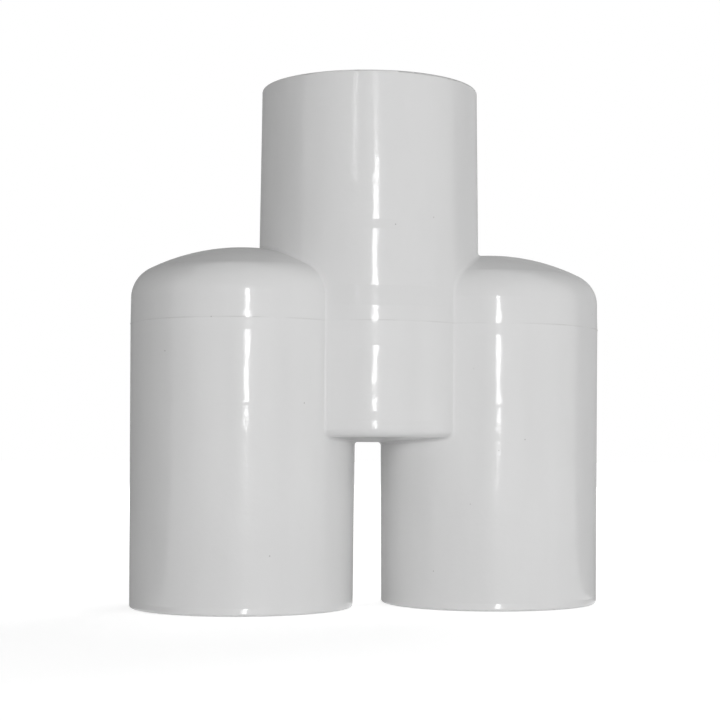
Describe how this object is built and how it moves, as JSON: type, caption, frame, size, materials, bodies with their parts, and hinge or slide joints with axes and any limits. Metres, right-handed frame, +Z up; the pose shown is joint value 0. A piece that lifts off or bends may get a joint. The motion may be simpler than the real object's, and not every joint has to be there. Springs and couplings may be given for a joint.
{
  "type": "parallel wye pipe fitting",
  "caption": "Parallel wye pipe fitting: side-by-side socket legs with domed ends, joined to a middle tube that has a closed foot below and a socket above.",
  "frame": {"origin": "midway between the two lower mouths, in their plane", "axes": "+X from leg to leg, to the right as seen from the front; +Y away from the front; +Z up along the tubes, towards the upper mouth"},
  "size_m": [0.1222, 0.0572, 0.1325],
  "materials": {
    "pvc": "gloss"
  },
  "bodies": {
    "root": {"wye_body": "pvc"}
  },
  "joints": []
}
